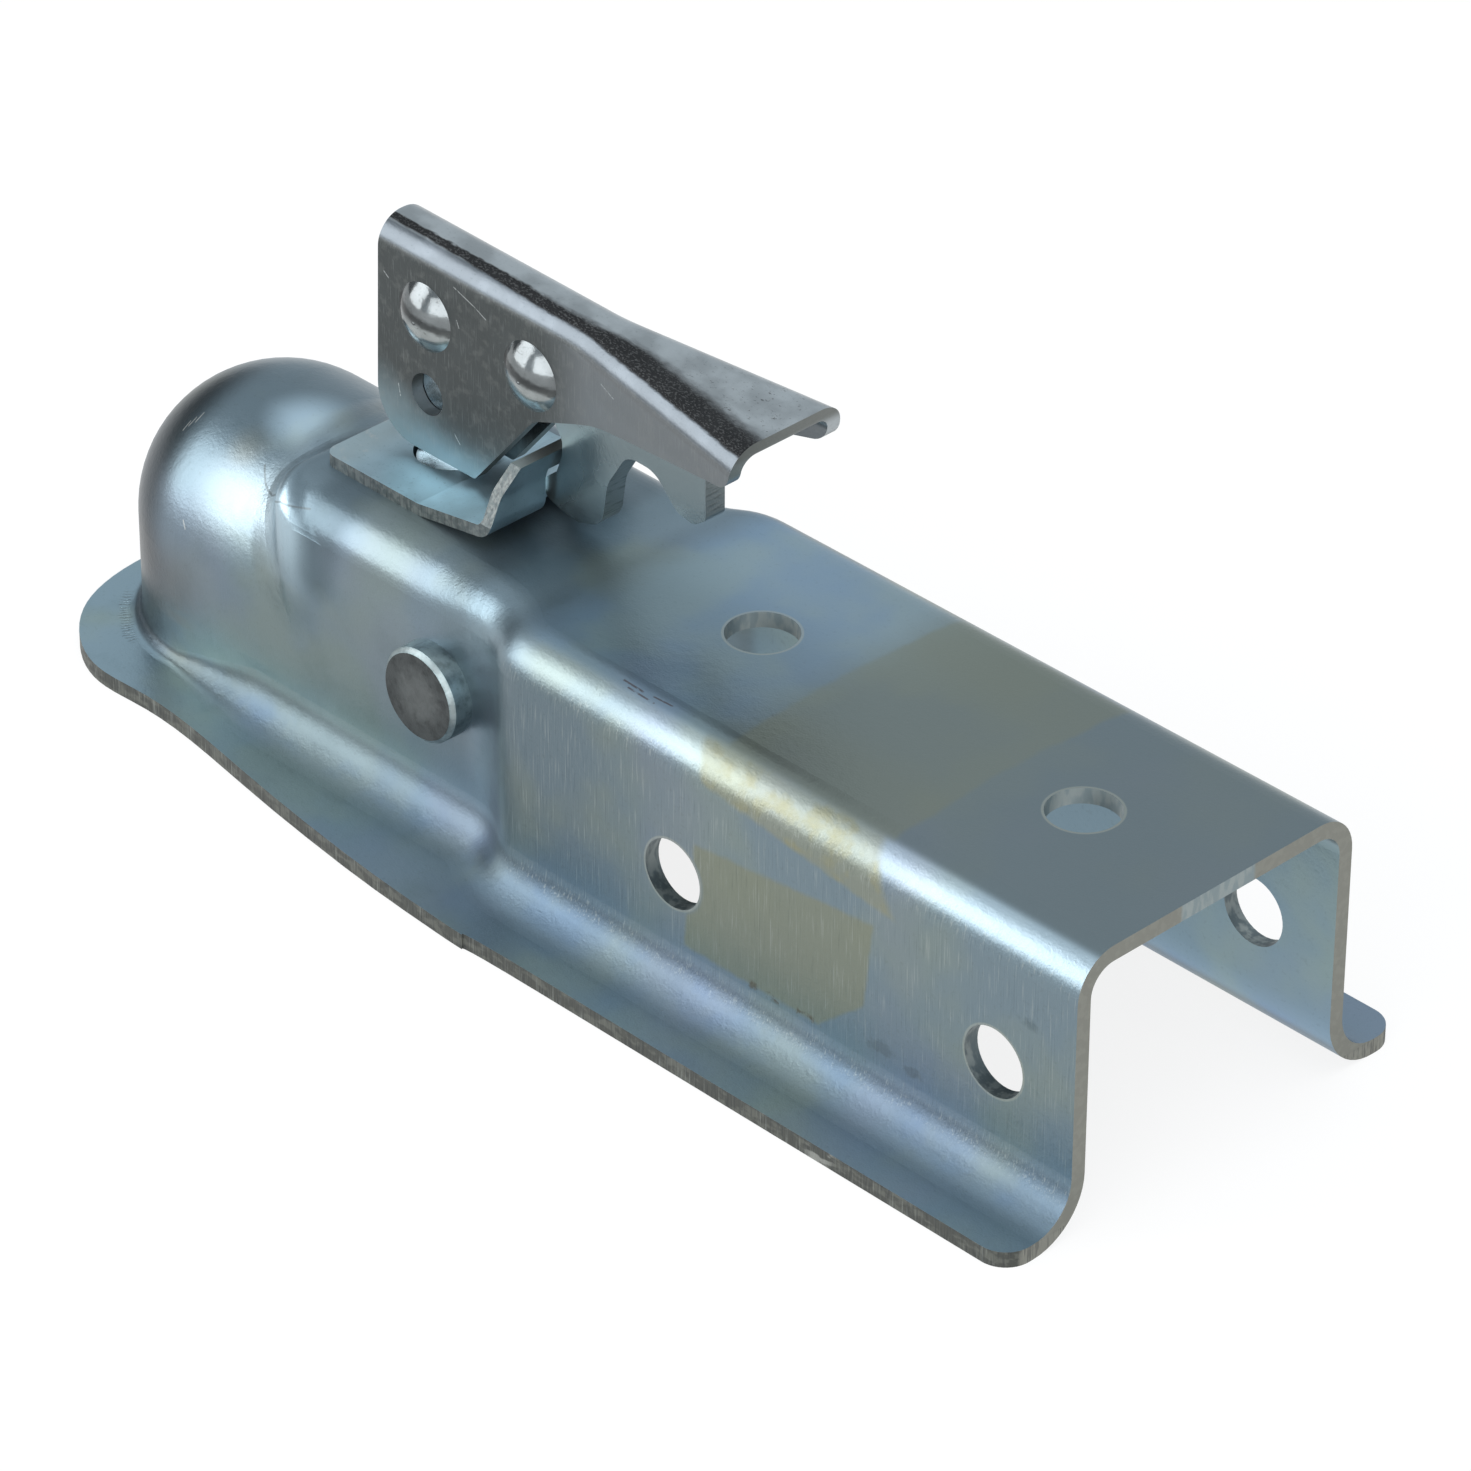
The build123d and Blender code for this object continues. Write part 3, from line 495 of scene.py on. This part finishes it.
def lever_finish():
    material, b, colour, soft = small_zinc("zinc_lever_plate", (0.355, 0.385, 0.4), 3.0)
    x, y, z, nx, ny, nz = b.where()
    cheek = b.ease(abs(ny), 0.9, 0.985)
    top = b.ease(nz, 0.9, 0.985)
    low_cheek = 1 - b.ease(z + (x - 50.0) * 0.3 + b.drift(6.0, 6.0, 3.0, shift=8.0), 64.0, 78.0)
    # Painted shade: the cheeks turned dark, with painted light on their lower part and towards the
    # rear
    colour = b.tint(cheek * 0.95, colour, CHEEK)
    colour = b.tint(cheek * low_cheek * 0.75, colour, LOW_CHEEK)
    colour = b.tint(cheek * b.ease(x, 80.0, 100.0) * 0.7, colour, REAR_CHEEK)
    # Painted shade: the highlight on the lever's near bend dimmed
    roll = b.ease(-1 * ny, 0.5, 0.6) * (1 - b.ease(-1 * ny, 0.93, 0.98)) * b.ease(nz, 0.1, 0.3)
    colour = b.stain(roll, colour, (0.4, 0.42, 0.45, 1))

    # A painted dark reflection along the near bend, placed by which way the bend faces: thin and
    # dark in front, broad and grainy to the rear
    ragged = b.drift(0.22, 0.9, 3.0, stretch=(3, 1, 1), shift=6.0)
    rear = b.ease(x, 42.0, 90.0)
    low = -0.53 - rear * 0.17
    high = b.ease(x, 70.0, 88.0) * -0.08 - 0.27 + b.ease(x, 88.0, 118.0) * 0.6
    soft_top = 0.05 + b.ease(x, 60.0, 110.0) * 0.16
    line = b.ease(ny + ragged * 0.4 - low, -0.03, 0.05)
    line = line * (1 - b.ease((ny + ragged - high) / soft_top, -0.6, 1.0)) * b.ease(nz, 0.3, 0.5)
    fade = 0.3 + b.ease(x, 88.0, 122.0) * 3.2
    start = 0.4 + b.math("MAXIMUM", x - 93.0, 0.0) * 0.165
    frayed = b.drift(2.0, 1.2, 3.0, stretch=(2, 1, 1), shift=26.0)
    line = line * b.ease((-1 * y - start + frayed * b.ease(x, 80.0, 110.0)) / fade, -1.0, 0.1)
    grit = b.spots(0.52, 0.66, 0.3, 2.0, stretch=(2, 1, 1), shift=2.0)
    colour = b.tint(line * 0.97, colour, DARK_BEND_REFLECTION)
    colour = b.tint(line * grit * 0.12, colour, BRUSHED)
    seam = b.band(ny, -0.985, -0.955, 0.006) * b.ease(z, 95.0, 98.0)
    colour = b.tint(seam * 0.4, colour, SEAM)

    pits = b.spots(0.6, 0.7, 0.8, 3.0, stretch=(1.6, 1, 1), shift=14.0, harsh=0.65)
    pits = pits * top * b.ease(x, 105.0, 135.0)
    colour = b.tint(pits * 0.75, colour, SOOT)
    mottle = b.spots(0.5, 0.68, 2.4, 4.0, shift=5.0, harsh=0.62)
    colour = b.tint(mottle * cheek * 0.16, colour, CHEEK_MOTTLE)

    marks = b.stroke(x, z, (38.6, 99.4), (39.9, 98.4), 0.2)
    marks = marks.either(b.most([b.stroke(x, z, *ends, 0.17) for ends in LEVER_MARKS]))
    marks = marks * b.ease(-1 * ny, 0.6, 0.8) * b.spots(0.38, 0.5, 0.5, 2.0, shift=1.0)
    colour = b.tint(marks * 0.6, colour, CHEEK_SCRATCH)
    drawn = b.grain(0.3, 2.0, stretch=(1, 1, 16), shift=19.0)
    colour = b.tint(b.ease(drawn, 0.54, 0.72) * cheek * 0.2, colour, CHEEK_GRAIN)

    # The sheared lower edge and the rear end
    cut = (1 - b.ease(abs(ny), 0.3, 0.6)) * (1 - b.ease(nz, -0.3, 0.3))
    cut = cut * (1 - b.ease(z, 98.5, 100.5))
    cut = cut.either(b.ease(nx, 0.8, 0.95) * b.ease(x, 141.0, 141.6))
    cut = cut.either(b.ease(-1 * nx, 0.8, 0.95))
    colour = b.tint(cut * 0.8, colour, LEVER_EDGE)
    rough = soft * 0.06 + 0.3 + cheek * 0.04 + line * 0.16 + cut * 0.15 + pits * 0.15
    lines = b.grain(0.4, 2.0, stretch=(1, 12, 1), shift=4.0)
    relief = pebble(b, 40.0) * 0.7 - pits * 0.05 - line * grit * 0.05
    relief = relief + cut * (lines - 0.5) * 0.06 - marks * 0.02
    b.metal(colour, rough, relief)
    return material


# The saddle plate's tones
ROUGH_EDGE = (0.28, 0.29, 0.28, 1)
SADDLE_LIP = (0.42, 0.44, 0.42, 1)
SADDLE_FRONT = (0.33, 0.37, 0.36, 1)
SADDLE_RUB = (0.5, 0.5, 0.48, 1)


def saddle_finish():
    base = (0.3, 0.41, 0.465)
    material, b, colour, soft = small_zinc("zinc_saddle_plate", base, 50.0, clouds=14.0)
    x, y, z, nx, ny, nz = b.where()
    front_edge = b.ease(-1 * nx, 0.8, 0.95) * (1 - b.ease(x, 35.0, 36.5))
    cut = b.ease(abs(ny), 0.6, 0.85).either(front_edge)
    # Painted light: part of the saddle's top lightened where it reflects the lever's cheek
    under = b.ease(x, 45.0, 56.0) * b.ease(nz, 0.5, 0.8) * b.ease(-1 * y, 6.0, 12.0)
    colour = b.stain(under, colour, (1.5, 1.55, 1.55, 1))
    lip = b.ease(z, 77.2, 77.45) * b.ease(nz, 0.7, 0.9)
    rough_face = b.spots(0.42, 0.62, 1.1, 3.0, shift=60.0)
    colour = b.tint(cut * 0.85, colour, SHEARED)
    colour = b.tint(cut * rough_face * 0.4, colour, ROUGH_EDGE)
    colour = b.tint(lip * 0.8, colour, SADDLE_LIP)
    # Painted light: the front of the saddle's top lightened, standing in for its slight lift
    front = (1 - b.ease(x, 36.5, 43.5)) * b.ease(nz, 0.9, 0.98)
    colour = b.tint(front * 0.45, colour, SADDLE_FRONT)
    tears = b.spots(0.5, 0.64, 0.4, 2.0, stretch=(1, 1, 10), shift=3.0)
    colour = b.tint(cut * tears * 0.45, colour, SOOT)
    rub = b.spots(0.55, 0.7, 3.0, 4.0, shift=70.0, harsh=0.6) * front
    colour = b.tint(rub * 0.5, colour, SADDLE_RUB)
    rough = soft * 0.07 + 0.36 + cut * 0.1 + front * 0.04
    relief = pebble(b, 60.0) * 0.45 + sheared(b, cut, (1, 1, 10), 5.0)
    b.metal(colour, rough, relief)
    return material


# The tones of the pin's head and the trigger's edge
PIN_FACE = (0.062, 0.067, 0.068, 1)
PIN_MIDDLE = (0.22, 0.235, 0.235, 1)
TRIGGER_EDGE = (0.24, 0.255, 0.25, 1)


def pin_finish():
    material, b, colour, soft = small_zinc("zinc_pin_head", (0.24, 0.3, 0.31), 80.0, clouds=4.0)
    x, _, z, _, ny, _ = b.where()
    away = b.away((x, PIN[0]), (z, PIN[1]))
    face = b.ease(-1 * ny, 0.9, 0.98)
    colour = b.tint(face * 0.97, colour, PIN_FACE)
    middle = (1 - b.ease(away + b.drift(5.0, 1.8, 3.0, shift=3.0), 3.0, 7.2)) * face
    stained = b.spots(0.42, 0.66, 2.6, 4.0, shift=85.0, harsh=0.62)
    colour = b.stain(stained * 0.6, colour, (0.45, 0.46, 0.46, 1))
    colour = b.tint(middle * 0.3, colour, PIN_MIDDLE)
    ring = b.band(away, 9.2, 9.8, 0.2) * b.ease(-1 * ny, 0.3, 0.6)
    colour = b.tint(ring * 0.25, colour, BRUSHED)
    rough = soft * 0.1 + 0.36 + middle * 0.06
    turned = b.grain(0.5, 2.0, stretch=(1, 10, 1), shift=2.0)
    hammered = b.drift(0.12, 1.5, 4.0, shift=90.0, harsh=0.65)
    relief = hammered * face + (turned - 0.5) * 0.03 * (1 - face)
    b.metal(colour, rough, relief)
    return material


def rivet_finish():
    material, b, colour, soft = small_zinc("bright_rivet", (0.18, 0.195, 0.2), 110.0)
    scuff = b.spots(0.6, 0.72, 0.9, 3.0, stretch=(2, 1, 1), shift=112.0)
    colour = b.stain(scuff * 0.5, colour, (0.5, 0.5, 0.5, 1))
    nx, _, nz = b.where()[3:]
    # Painted reflections: a dark arc round the head, and its lower part lightened
    arc = b.band(nz + nx * 0.25 + b.drift(0.12, 1.5, 2.0, shift=3.0), 0.0, 0.17, 0.05)
    colour = b.stain(arc * 0.85, colour, (0.22, 0.22, 0.22, 1))
    colour = b.stain(1 - b.ease(nz, -0.15, 0.05), colour, (1.7, 1.7, 1.65, 1))
    rough = soft * 0.05 + 0.13 + scuff * 0.12
    b.metal(colour, rough, b.drift(0.02, 0.8, 2.0, shift=120.0))
    return material


def trigger_finish():
    base = (0.2, 0.25, 0.265)
    material, b, colour, soft = small_zinc("zinc_trigger_plate", base, 140.0, clouds=16.0)
    ny = b.where()[4]
    cut = 1 - b.ease(abs(ny), 0.3, 0.6)
    colour = b.tint(cut * 0.55, colour, TRIGGER_EDGE)
    tears = b.spots(0.5, 0.64, 0.45, 2.0, stretch=(1, 9, 1), shift=3.0)
    colour = b.tint(cut * tears * 0.4, colour, SOOT)
    rough = soft * 0.08 + 0.24 + cut * 0.12
    relief = pebble(b, 150.0) * 0.6 + cut * b.drift(0.05, 0.45, 2.0, stretch=(1, 9, 1), shift=3.0)
    b.metal(colour, rough, relief)
    return material


def bolt_finish():
    material, b, colour, soft = small_zinc("zinc_bolt", (0.46, 0.54, 0.58), 170.0, clouds=5.0)
    x, y, z = b.where()[:3]
    away = b.away((x, BOLT_X), (y, 0.0))
    turn = b.math("ARCTAN2", y, x - BOLT_X) / FULL_TURN
    ridge = b.math("PINGPONG", z / THREAD_PITCH + turn, 0.5) * 2.0
    threaded = b.ease(away, 6.6, 6.8) * (1 - b.ease(z, 40.0, 42.0))
    colour = b.tint(threaded * (1 - ridge) * 0.6, colour, SOOT)
    rough = soft * 0.1 + 0.22 + threaded * 0.08
    b.metal(colour, rough, threaded * ridge * 0.35 + pebble(b, 180.0) * 0.5)
    return material


# The tones of the iron, the wire and the nylon, dark and light
IRON_DARK = (0.1, 0.118, 0.125, 1)
IRON_LIGHT = (0.17, 0.185, 0.185, 1)
IRON_WORN = (0.3, 0.32, 0.32, 1)
WIRE_DARK = (0.17, 0.18, 0.185, 1)
WIRE_LIGHT = (0.36, 0.37, 0.37, 1)
NYLON_DARK = (0.16, 0.27, 0.5, 1)
NYLON_LIGHT = (0.21, 0.34, 0.58, 1)


def cast_finish():
    material, b = finish_named("cast_clamp_iron")
    x, y, z = b.where()[:3]
    patchy = b.spots(0.4, 0.65, 8.0, 4.0, shift=200.0)
    colour = b.tint(patchy, IRON_DARK, IRON_LIGHT)
    away = b.away((x, 0.0), (y, 0.0), (z, BALL_Z))
    bearing = 1 - b.ease(away, BALL_SEAT, BALL_SEAT + 0.5)
    colour = b.tint(bearing * 0.6, colour, IRON_WORN)
    rough = b.grain(3.0, 3.0, shift=210.0) * 0.25 + 0.42 - bearing * 0.15
    b.metal(colour, rough, b.drift(0.16, 0.9, 4.0, shift=220.0, harsh=0.65) * (1 - bearing * 0.7))
    return material


def spring_finish():
    material, b = finish_named("spring_wire")
    drawn = b.spots(0.35, 0.65, 1.2, 3.0, stretch=(1, 1, 3), shift=230.0)
    colour = b.tint(drawn, WIRE_DARK, WIRE_LIGHT)
    b.metal(colour, drawn * 0.12 + 0.24, b.drift(0.02, 0.5, 2.0, shift=232.0))
    return material


def nylon_finish():
    material, b = finish_named("nut_nylon")
    soft = b.spots(0.4, 0.6, 1.5, 3.0, shift=240.0)
    colour = b.tint(soft, NYLON_DARK, NYLON_LIGHT)
    b.metal(colour, soft * 0.1 + 0.4, b.drift(0.03, 0.6, 2.0, shift=244.0), metallic=0.0)
    return material


paint(housing_finish(), "housing")
paint(lever_finish(), "lever_handle")
paint(saddle_finish(), "saddle_plate")
paint(pin_finish(), "cross_pin")
paint(rivet_finish(), "lever_rivet", "trigger_rivet")
paint(trigger_finish(), "trigger")
paint(bolt_finish(), "draw_bolt", "lock_nut", "spring_washer")
paint(cast_finish(), "ball_clamp")
paint(spring_finish(), "clamp_spring", "trigger_spring")
paint(nylon_finish(), "nut_ring")


# Floor, light and camera, in metres

ROOM = (0.86, 0.94, 1.0, 1)
PAPER = (0.9, 0.9, 0.9, 1)
FLOOR_SIZE = 30
# How much of the floor is plain white to the camera
FLOOR_WHITE = 0.85
LAMP_AIM = (0.03, 0.0, 0.04)
LENS_MM = 186.57
EYE_PLACE = (0.9882, -0.8420, 0.8218)
EYE_RIGHT = (0.6979, 0.7162, 0.0038)
EYE_BACK = (0.5976, -0.5852, 0.5482)


def floor():
    bpy.ops.mesh.primitive_plane_add(size=FLOOR_SIZE, location=(0, 0, 0))
    ground = bpy.context.object
    ground.name = "floor"
    material, b = finish_named("white_paper")
    path = b.node("ShaderNodeLightPath")
    seen = b.wire(path, "Is Camera Ray") + b.wire(path, "Is Glossy Ray")
    seen = seen + b.wire(path, "Is Transmission Ray")
    paper = b.node("ShaderNodeBsdfDiffuse", None, {"Color": PAPER})
    glow = b.node("ShaderNodeEmission", None, {"Color": (1, 1, 1, 1), "Strength": 1.0})
    both = b.node("ShaderNodeMixShader", None, {
        0: b.math("MINIMUM", seen, 1.0) * FLOOR_WHITE, 1: b.wire(paper), 2: b.wire(glow)})
    out = b.node("ShaderNodeOutputMaterial")
    b.tree.links.new(both.outputs[0], out.inputs["Surface"])
    ground.data.materials.append(material)


def softbox(name, place, aim, width, tall, glow):
    """A flat lamp of the given radiance."""
    lamp = bpy.data.lights.new(name, "AREA")
    lamp.shape = "RECTANGLE"
    lamp.size = width
    lamp.size_y = tall
    lamp.energy = glow * PI * width * tall
    box = bpy.data.objects.new(name, lamp)
    scene.collection.objects.link(box)
    box.location = place
    box.rotation_euler = (Vector(place) - Vector(aim)).to_track_quat("Z", "Y").to_euler()


def sky():
    world = bpy.data.worlds.new("studio")
    scene.world = world
    world.use_nodes = True
    b = Bench(world.node_tree)
    # A studio with pale walls and a dark flag low on the far left
    place = b.node("ShaderNodeTexCoord")
    way = b.node("ShaderNodeSeparateXYZ", None, {0: b.wire(place, "Generated")})
    left, up = b.wire(way, 0), b.wire(way, 2)
    flag = b.ease(-1 * left, 0.72, 0.93) * (1 - b.ease(up, 0.3, 0.6))
    light = b.node("ShaderNodeBackground", None, {
        "Color": ROOM, "Strength": 0.8 - flag * 0.6})
    out = b.node("ShaderNodeOutputWorld")
    b.tree.links.new(light.outputs[0], out.inputs["Surface"])


def camera():
    lens = bpy.data.cameras.new("camera")
    lens.lens = LENS_MM
    lens.sensor_width = 36.0
    lens.clip_start = 0.05
    lens.clip_end = 60.0
    eye = bpy.data.objects.new("camera", lens)
    scene.collection.objects.link(eye)
    right = Vector(EYE_RIGHT).normalized()
    back = Vector(EYE_BACK).normalized()
    up = back.cross(right).normalized()
    right = up.cross(back)
    place = Matrix((right, up, back)).transposed().to_4x4()
    place.translation = EYE_PLACE
    eye.matrix_world = place
    scene.camera = eye


floor()
softbox("box_near", (0.56, -1.24, 0.52), LAMP_AIM, 1.5, 0.9, 3.2)
softbox("box_high", (0.45, 0.12, 1.40), LAMP_AIM, 1.2, 1.0, 2.2)
softbox("box_left", (-0.88, -0.95, 0.55), (0.1, 0.0, 0.05), 1.0, 1.05, 3.9)
sky()
camera()
scene.view_settings.view_transform = "Standard"
